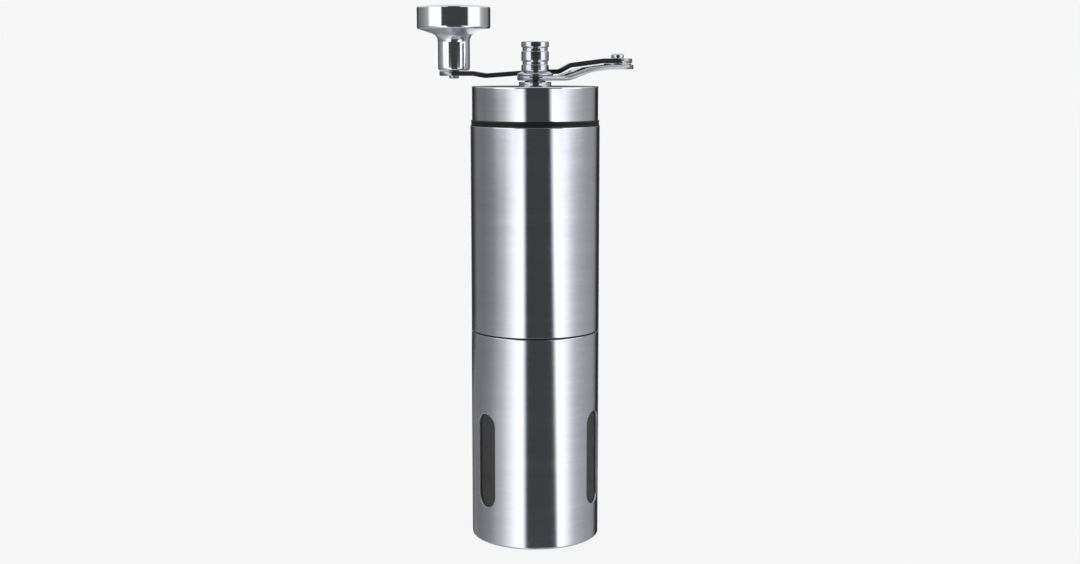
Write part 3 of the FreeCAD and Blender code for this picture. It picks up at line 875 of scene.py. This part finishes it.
@dataclass
class Hopper(SubAssembly):
    """The upper shell with its black liner, bracket, burr carrier, outer burr and bearings."""

    wall: float = 0.8 * MM
    edge: float = 0.1 * MM
    moulded_ease_mm: float = 0.15
    seal_ease_mm: float = 0.6
    burr_ease_mm: float = 0.12

    def build(self) -> None:
        """Make and dress the hopper's pieces."""
        low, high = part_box("hopper_shell")
        outer, inner = high.x, high.x - self.wall
        self.turn("hopper_shell", [
            (inner, low.z, 0.0), (outer, low.z, self.edge), (outer, high.z, self.edge),
            (inner, high.z, 0.0)], CASING)
        for node in ("hopper_liner", "top_bracket", "burr_carrier", "burr_retainer"):
            self.dress(node, BLACK, self.moulded_ease_mm)
        self.dress("neck_seal", SEAL, self.seal_ease_mm)
        self.dress("outer_burr", CERAMIC, self.burr_ease_mm)
        for node in ("upper_bush", "lower_bush"):
            self.dress(node, BRONZE, self.moulded_ease_mm)


@dataclass
class Cap(SubAssembly):
    """The steel cap, the black plug inside it and the ferrule that the crank turns on."""

    wall: float = 0.8 * MM
    edge: float = 0.4 * MM
    low_edge: float = 0.1 * MM
    inner_edge: float = 0.3 * MM
    ferrule_bore: float = 3.25 * MM
    ferrule_tube: float = 4.5 * MM
    ferrule_foot_height: float = 1.6 * MM
    ferrule_neck: float = 3.8 * MM
    ferrule_edge: float = 0.3 * MM
    ferrule_corner: float = 0.2 * MM
    plug_ease_mm: float = 0.15

    def build(self) -> None:
        """Make and dress the cap's pieces."""
        low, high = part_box("cap_shell")
        outer, inner = high.x, high.x - self.wall
        hole = self.ferrule_tube + FITTING_GAP
        under = high.z - self.wall
        self.turn("cap_shell", [
            (hole, under, 0.0), (inner, under, self.inner_edge), (inner, low.z, 0.0),
            (outer, low.z, self.low_edge), (outer, high.z, self.edge), (hole, high.z, 0.0)], CAP_STEEL)
        self.dress("cap_plug", BLACK, self.plug_ease_mm)
        foot_low, foot_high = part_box("cap_ferrule")
        foot_top = high.z + self.ferrule_foot_height
        self.turn("cap_ferrule", [
            (self.ferrule_bore, foot_low.z, 0.0), (self.ferrule_tube, foot_low.z, FINE_EDGE),
            (self.ferrule_tube, high.z, 0.0), (foot_high.x, high.z, FINE_EDGE),
            (foot_high.x, foot_top, self.ferrule_edge), (self.ferrule_neck, foot_top, self.ferrule_corner),
            (self.ferrule_neck, foot_high.z, FINE_EDGE), (self.ferrule_bore, foot_high.z, FINE_EDGE)],
            HUB_STEEL, faces=HUB_FACES)


@dataclass
class DriveShaft(SubAssembly):
    """The shaft with its clip and washer, and the coil spring that follows a path."""

    wire: float = 0.9 * MM
    wire_faces: int = 16
    mean_diameter: float = 9.2 * MM
    turns: float = 5.0
    steps_a_turn: int = 32
    shaft_ease_mm: float = 0.12
    washer_ease_mm: float = 0.1
    wire_crease_deg: float = 50.0

    def spring_tree(self) -> NodeTree:
        """Build the tree that winds a wire into a coil.

        Returns:
            The tree.
        """
        tree = bpy.data.node_groups.new("wound_coil", "GeometryNodeTree")
        for name in ("Wire Radius", "Coil Radius", "Turns", "Height", "Base Height"):
            tree.interface.new_socket(name=name, in_out="INPUT", socket_type="NodeSocketFloat")
        tree.interface.new_socket(name="Coil", in_out="OUTPUT", socket_type="NodeSocketGeometry")
        given = add_node(tree, "NodeGroupInput").outputs
        path = add_node(tree, "GeometryNodeCurveSpiral", {
            "Resolution": self.steps_a_turn, "Rotations": given["Turns"],
            "Start Radius": given["Coil Radius"], "End Radius": given["Coil Radius"],
            "Height": given["Height"]})
        section = add_node(tree, "GeometryNodeCurvePrimitiveCircle", {
            "Resolution": self.wire_faces, "Radius": given["Wire Radius"]})
        tube = add_node(tree, "GeometryNodeCurveToMesh", {
            "Curve": path, "Profile Curve": section, "Fill Caps": True})
        lift = add_node(tree, "ShaderNodeCombineXYZ", {"Z": given["Base Height"]})
        moved = add_node(tree, "GeometryNodeTransform", {"Geometry": tube, "Translation": lift})
        real = add_node(tree, "GeometryNodeRealizeInstances", {"Geometry": moved})
        dressed = add_node(tree, "GeometryNodeSetMaterial", {
            "Geometry": real, "Material": SPRING.material()})
        add_node(tree, "NodeGroupOutput", {"Coil": dressed})
        return tree

    def wind_spring(self) -> None:
        """Wind the spring between the ends of its node and dress it."""
        low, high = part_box("burr_spring")
        tree = self.spring_tree()
        piece = linked("burr_spring_wound", bpy.data.meshes.new("burr_spring_wound"))
        values = {
            "Wire Radius": self.wire / 2, "Coil Radius": self.mean_diameter / 2, "Turns": self.turns,
            "Height": high.z - low.z - self.wire, "Base Height": low.z + self.wire / 2}
        modifier = piece.modifiers.new("wound", "NODES")
        modifier.node_group = tree
        for entry in tree.interface.items_tree:
            if entry.in_out == "INPUT":
                modifier[entry.identifier] = values[entry.name]
        make_plain(piece)
        finish_mesh(piece.data, self.wire_crease_deg)
        settle(piece, "burr_spring", SPRING)

    def build(self) -> None:
        """Make and dress the shaft's pieces."""
        self.dress("drive_shaft", HUB_STEEL, self.shaft_ease_mm)
        for node in ("shaft_clip", "thrust_washer"):
            self.dress(node, SPRING, self.washer_ease_mm)
        self.wind_spring()


@dataclass
class GrindSet(SubAssembly):
    """The inner burr with its click plate, and the adjuster under it."""

    burr_ease_mm: float = 0.12
    plate_ease_mm: float = 0.1
    wheel_ease_mm: float = 0.25
    insert_ease_mm: float = 0.15

    def build(self) -> None:
        """Make and dress the grind set's pieces."""
        self.dress("inner_burr", CERAMIC, self.burr_ease_mm)
        self.dress("click_plate", BLACK, self.plate_ease_mm)
        self.dress("adjuster_wheel", BLACK, self.wheel_ease_mm)
        self.dress("adjuster_insert", BRONZE, self.insert_ease_mm)


@dataclass
class Crank(SubAssembly):
    """The hub and its arm, and the rivet that the knob arm folds on."""

    hub_spigot: float = 4.0 * MM
    hub_edge: float = 0.35 * MM
    groove_depth: float = 0.4 * MM
    groove_height: float = 1.4 * MM
    groove_drops: tuple[float, float] = (2.2 * MM, 7.1 * MM)
    groove_edge: float = 0.14 * MM
    washer_edge: float = 0.7 * MM
    washer_low_round: float = 0.25 * MM
    washer_round: float = 0.4 * MM
    strip_ease_mm: float = 0.3
    socket_radius: float = 3.05 * MM
    socket_depth: float = 10.6 * MM
    rivet_shank: float = 1.5 * MM
    rivet_head: float = 2.4 * MM
    rivet_head_round: float = 1.0 * MM
    rivet_play: float = 0.1 * MM

    def hub_outline(self) -> list[Corner]:
        """Draw the grooved hub from its socket's roof round to its closed top.

        Returns:
            The outline's corners.
        """
        low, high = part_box("crank_hub")
        outer = high.x
        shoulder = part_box("hub_washer")[1].z
        roof = low.z + self.socket_depth
        edge = self.groove_edge
        corners: list[Corner] = [
            (0.0, roof, 0.0), (self.socket_radius, roof, 0.0), (self.socket_radius, low.z, FINE_EDGE),
            (self.hub_spigot, low.z, FINE_EDGE), (self.hub_spigot, shoulder, 0.0), (outer, shoulder, edge)]
        floor = outer - self.groove_depth
        for drop in reversed(self.groove_drops):
            groove_top = high.z - drop
            groove_low = groove_top - self.groove_height
            corners += [(outer, groove_low, edge), (floor, groove_low, edge),
                        (floor, groove_top, edge), (outer, groove_top, edge)]
        return corners + [(outer, high.z, self.hub_edge), (0.0, high.z, 0.0)]

    def rivet(self, centre: Point) -> None:
        """Make and dress the rivet with its rounded head and countersunk tail.

        Args:
            centre: Where the rivet stands.
        """
        low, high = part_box("fold_rivet")
        tail = (high.x - low.x) / 2
        tail_top = low.z + tail - self.rivet_shank
        head_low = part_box("knob_arm")[1].z + self.rivet_play
        self.turn("fold_rivet", [
            (0.0, low.z, 0.0), (tail, low.z, FINE_EDGE), (self.rivet_shank, tail_top, 0.0),
            (self.rivet_shank, head_low, 0.0), (self.rivet_head, head_low, FINE_EDGE),
            (self.rivet_head, high.z, self.rivet_head_round), (0.0, high.z, 0.0)],
            replace(RIVET_STEEL, centre=centre), closed=False, centre=centre, faces=RIVET_FACES)

    def build(self) -> None:
        """Make and dress the crank's pieces."""
        x, y, _ = JOINT["crank_fold"]["pos_m"]
        lean = math.degrees(math.atan2(y, x))
        self.dress("hub_arm", replace(STRIP_STEEL, name="brushed_strip_hub_arm", turn_deg=lean),
                   self.strip_ease_mm)
        self.turn("crank_hub", self.hub_outline(), HUB_STEEL, closed=False, faces=HUB_FACES)
        low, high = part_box("hub_washer")
        inner = self.hub_spigot + FITTING_GAP
        self.turn("hub_washer", [
            (inner, low.z, 0.0), (high.x, low.z, self.washer_low_round),
            (high.x, low.z + self.washer_edge, self.washer_round),
            (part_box("crank_hub")[1].x, high.z, self.washer_round), (inner, high.z, 0.0)],
            HUB_STEEL, faces=HUB_FACES)
        self.rivet((x, y))
        self.dress("fold_washer", SPRING)


@dataclass
class KnobArm(SubAssembly):
    """The upper strip from the rivet to the knob, and the knob's pin."""

    strip_ease_mm: float = 0.3
    pin_ease_mm: float = 0.2

    def build(self) -> None:
        """Make and dress the knob arm's pieces."""
        self.dress("knob_arm", replace(STRIP_STEEL, name="brushed_strip_knob_arm"), self.strip_ease_mm)
        self.dress("knob_pin", SPRING, self.pin_ease_mm)


@dataclass
class Knob(SubAssembly):
    """The mushroom knob and the sleeve that it turns on."""

    stem: float = 6.0 * MM
    stem_height: float = 13.0 * MM
    cone_height: float = 2.5 * MM
    dome_height: float = 0.55 * MM
    stem_fillet: float = 3.0 * MM
    edge: float = 0.8 * MM
    rim: float = 0.9 * MM
    bore: float = 3.3 * MM
    bore_depth: float = 19.5 * MM
    bore_edge: float = 0.2 * MM
    dome_steps: int = 10
    sleeve_ease_mm: float = 0.15

    def build(self) -> None:
        """Make and dress the knob's pieces."""
        x, y, _ = JOINT["knob_spin"]["pos_m"]
        low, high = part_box("knob")
        radius = (high.x - low.x) / 2
        stem_top = low.z + self.stem_height
        head_low = stem_top + self.cone_height
        shoulder = high.z - self.dome_height
        dome = (radius ** 2 + self.dome_height ** 2) / (2 * self.dome_height)
        corners: list[Corner] = [
            (0.0, low.z + self.bore_depth, 0.0), (self.bore, low.z + self.bore_depth, 0.0),
            (self.bore, low.z, self.bore_edge), (self.stem, low.z, self.edge),
            (self.stem, stem_top, self.stem_fillet), (radius, head_low, self.edge),
            (radius, shoulder, self.rim)]
        for step in range(self.dome_steps - 1, 0, -1):
            reach = radius * step / self.dome_steps
            corners.append((reach, high.z - dome + math.sqrt(dome ** 2 - reach ** 2), 0.0))
        corners.append((0.0, high.z, 0.0))
        self.turn("knob", corners, replace(KNOB_STEEL, centre=(x, y)), closed=False, centre=(x, y))
        self.dress("knob_sleeve", NYLON, self.sleeve_ease_mm)


@dataclass
class Studio:
    """A pale floor and backdrop, soft light from both sides, and the photograph's camera.

    Each light is the degrees from the front, to the right, and how strong the panels are there. What stands
    lower than the camera mirrors the lights below, and what stands higher the level ones.
    """

    camera_place: tuple[float, float, float] = (0.0018, -0.5455, 0.1762)
    camera_pitch_deg: float = 8.31
    lens_mm: float = 48.93
    sensor_mm: float = 36.0
    nearest: float = 0.01
    floor_reach: float = 6.0
    ceiling: float = 1.1
    ceiling_deg: Span = (6.0, 25.0)
    front_ceiling_deg: Span = (45.0, 65.0)
    front_panel_deg: float = 4.0
    front_panel_half_deg: Span = (23.0, 19.0)
    table: float = 0.75
    table_deg: Span = (-21.0, -35.0)
    table_share: float = 0.55
    level_deg: Span = (-0.4, -0.15)
    panel_lean: float = 0.75
    lean_start_deg: Span = (5.0, 15.0)
    lean_end_deg: Span = (75.0, 40.0)
    left_panel_edge_deg: float = -17.0
    left_panel_spread: float = 0.16
    spread_deg: Span = (-10.2, -12.2)
    lights_below: tuple[Light, ...] = (
        (-180.0, 2.2), (-174.0, 1.8), (-166.0, 0.2), (-152.0, 0.02), (-139.0, 0.1), (-127.0, 0.27),
        (-103.0, 0.26), (-78.0, 0.38), (-56.0, 0.8), (-38.0, 1.62), (-23.0, 2.2), (-15.0, 0.08),
        (23.5, 0.08), (31.0, 2.2), (39.0, 2.0), (50.0, 1.72), (59.0, 1.38), (69.0, 1.0), (79.0, 0.75),
        (89.0, 0.63), (103.0, 0.53), (124.0, 0.44), (134.0, 0.32), (142.0, 0.05), (152.0, 0.02),
        (166.0, 0.2), (174.0, 1.8), (180.0, 2.2))
    lights_level: tuple[Light, ...] = (
        (-180.0, 0.05), (-150.0, 0.06), (-126.0, 0.26), (-107.0, 0.34), (-94.0, 0.5), (-84.0, 0.6),
        (-71.0, 2.2), (-40.0, 2.2), (-33.0, 0.072), (46.4, 0.072), (54.0, 2.2), (84.0, 2.2), (98.0, 0.68),
        (114.0, 0.46), (133.0, 0.35), (146.0, 0.1), (150.0, 0.05))

    def strongest(self) -> float:
        """Give the strongest light of all the panels."""
        return max(light for _, light in self.lights_below + self.lights_level)

    def grey(self, light: float) -> tuple[float, float, float, float]:
        """Give the colour of a light, as a share of the strongest."""
        return (light / self.strongest(),) * 3 + (1.0,)

    @staticmethod
    def turn_ends(degrees: Span) -> Ends:
        """Give the ends of a blend between two angles round the object."""
        return {"From Min": math.radians(degrees[0]), "From Max": math.radians(degrees[1])}

    @staticmethod
    def height_ends(degrees: Span) -> Ends:
        """Give the ends of a blend between two angles over the horizon, as sines."""
        start, end = (math.sin(math.radians(angle)) for angle in degrees)
        return {"From Min": start, "From Max": end}

    def panels(self, tree: NodeTree, angle: Node, lights: tuple[Light, ...]) -> Node:
        """Lay soft panels round the object.

        Args:
            tree: The world's tree.
            angle: The angle round the object, from the front.
            lights: The panels' lights.

        Returns:
            The panels' light, as a share of the strongest.
        """
        share = add_node(tree, "ShaderNodeMapRange", {"Value": angle, **self.turn_ends((-180.0, 180.0))})
        ramp = add_node(tree, "ShaderNodeValToRGB", {"Fac": share})
        points = ramp.color_ramp.elements
        points.remove(points[1])
        for index, (degrees, light) in enumerate(lights):
            at = (degrees + 180) / 360
            point = points[0] if index == 0 else points.new(at)
            point.position = at
            point.color = self.grey(light)
        return ramp

    def low_angle(self, tree: NodeTree, angle: Node, height: NodeSocket) -> Node:
        """Lean the right panel's edge, and widen the left panel near the floor.

        Args:
            tree: The world's tree.
            angle: The angle round the object.
            height: The direction's height.

        Returns:
            The angle at which the lower panels are read.
        """
        past_middle = add_node(tree, "ShaderNodeMapRange", {
            "Value": angle, **self.turn_ends(self.lean_start_deg)})
        before_side = add_node(tree, "ShaderNodeMapRange", {
            "Value": angle, **self.turn_ends(self.lean_end_deg)})
        at_edge = add_node(tree, "ShaderNodeMath", {0: past_middle, 1: before_side}, operation="MULTIPLY")
        sink = add_node(tree, "ShaderNodeMath", {0: height, 1: self.panel_lean}, operation="MULTIPLY")
        lean = add_node(tree, "ShaderNodeMath", {0: sink, 1: at_edge}, operation="MULTIPLY")
        past_edge = add_node(tree, "ShaderNodeMath", {
            0: angle, 1: math.radians(self.left_panel_edge_deg)}, operation="SUBTRACT")
        on_left = add_node(tree, "ShaderNodeMath", {0: past_edge, 1: 0.0}, operation="MINIMUM")
        spread = add_node(tree, "ShaderNodeMapRange", {
            "Value": height, **self.height_ends(self.spread_deg), "To Max": -self.left_panel_spread})
        widened = add_node(tree, "ShaderNodeMath", {0: on_left, 1: spread, 2: angle},
                           operation="MULTIPLY_ADD")
        return add_node(tree, "ShaderNodeMath", {0: widened, 1: lean})

    def ceiling_share(self, tree: NodeTree, angle: Node, height: NodeSocket) -> Node:
        """Find the ceiling, which starts higher over the dark front panel.

        Args:
            tree: The world's tree.
            angle: The angle round the object.
            height: The direction's height.

        Returns:
            One on the ceiling and nought below it.
        """
        is_above = add_node(tree, "ShaderNodeMapRange", {
            "Value": height, **self.height_ends(self.ceiling_deg)})
        over_front = add_node(tree, "ShaderNodeMapRange", {
            "Value": height, **self.height_ends(self.front_ceiling_deg)})
        from_front = add_node(tree, "ShaderNodeMath", {
            0: angle, 1: math.radians(self.front_panel_deg)}, operation="SUBTRACT")
        beside_front = add_node(tree, "ShaderNodeMath", {0: from_front}, operation="ABSOLUTE")
        is_front = add_node(tree, "ShaderNodeMapRange", {
            "Value": beside_front, **self.turn_ends(self.front_panel_half_deg)})
        return add_node(tree, "ShaderNodeMix", {"Factor": is_front, "A": is_above, "B": over_front})

    def world(self) -> None:
        """Light the scene by two rings of soft panels under a pale ceiling, before a plain backdrop."""
        world = bpy.data.worlds.new("soft_panels")
        bpy.context.scene.world = world
        world.use_nodes = True
        tree = world.node_tree
        tree.nodes.clear()
        way = add_node(tree, "ShaderNodeTexCoord").outputs["Generated"]
        parts = add_node(tree, "ShaderNodeSeparateXYZ", {0: way}).outputs
        height = parts["Z"]
        forwards = add_node(tree, "ShaderNodeMath", {0: parts["Y"], 1: -1.0}, operation="MULTIPLY")
        angle = add_node(tree, "ShaderNodeMath", {0: parts["X"], 1: forwards}, operation="ARCTAN2")
        is_level = add_node(tree, "ShaderNodeMapRange", {
            "Value": height, **self.height_ends(self.level_deg)})
        is_table = add_node(tree, "ShaderNodeMapRange", {
            "Value": height, **self.height_ends(self.table_deg), "To Max": self.table_share})
        sides = add_node(tree, "ShaderNodeMix", {
            "Factor": is_level,
            "A": self.panels(tree, self.low_angle(tree, angle, height), self.lights_below),
            "B": self.panels(tree, angle, self.lights_level)}, data_type="RGBA")
        roofed = add_node(tree, "ShaderNodeMix", {
            "Factor": self.ceiling_share(tree, angle, height), "A": sides,
            "B": self.grey(self.ceiling)}, data_type="RGBA")
        whole = add_node(tree, "ShaderNodeMix", {
            "Factor": is_table, "A": roofed, "B": self.grey(self.table)}, data_type="RGBA")
        panels = add_node(tree, "ShaderNodeBackground", {"Color": whole, "Strength": self.strongest()})
        plain = add_node(tree, "ShaderNodeBackground", {"Color": linear(BACKDROP), "Strength": 1.0})
        seen = add_node(tree, "ShaderNodeLightPath").outputs["Is Camera Ray"]
        mixed = add_node(tree, "ShaderNodeMixShader", {0: seen, 1: panels, 2: plain})
        add_node(tree, "ShaderNodeOutputWorld", {"Surface": mixed})

    def floor(self) -> None:
        """Lay the pale floor, which the steel doesn't mirror."""
        shape = bmesh.new()
        bmesh.ops.create_grid(shape, x_segments=1, y_segments=1, size=self.floor_reach)
        floor = object_from("pale_floor", shape)
        floor.data.materials.append(PAPER.material())
        floor.visible_glossy = False

    def camera(self) -> None:
        """Stand the camera where the photograph was taken from."""
        data = bpy.data.cameras.new("photograph_view")
        data.lens = self.lens_mm
        data.sensor_width = self.sensor_mm
        data.clip_start = self.nearest
        camera = linked("photograph_view", data)
        camera.location = self.camera_place
        camera.rotation_euler = (math.radians(90 - self.camera_pitch_deg), 0.0, 0.0)
        bpy.context.scene.camera = camera

    def build(self) -> None:
        """Set up the light, the floor and the camera."""
        self.world()
        self.floor()
        self.camera()
        bpy.context.scene.view_settings.view_transform = "Standard"


def main() -> None:
    """Build every sub-assembly in order, then the studio."""
    logging.basicConfig(level=logging.INFO, format="%(message)s")
    for assembly in (Chamber(), Hopper(), Cap(), DriveShaft(), GrindSet(), Crank(), KnobArm(), Knob()):
        assembly.build()
    Studio().build()


if __name__ == "__main__":
    main()
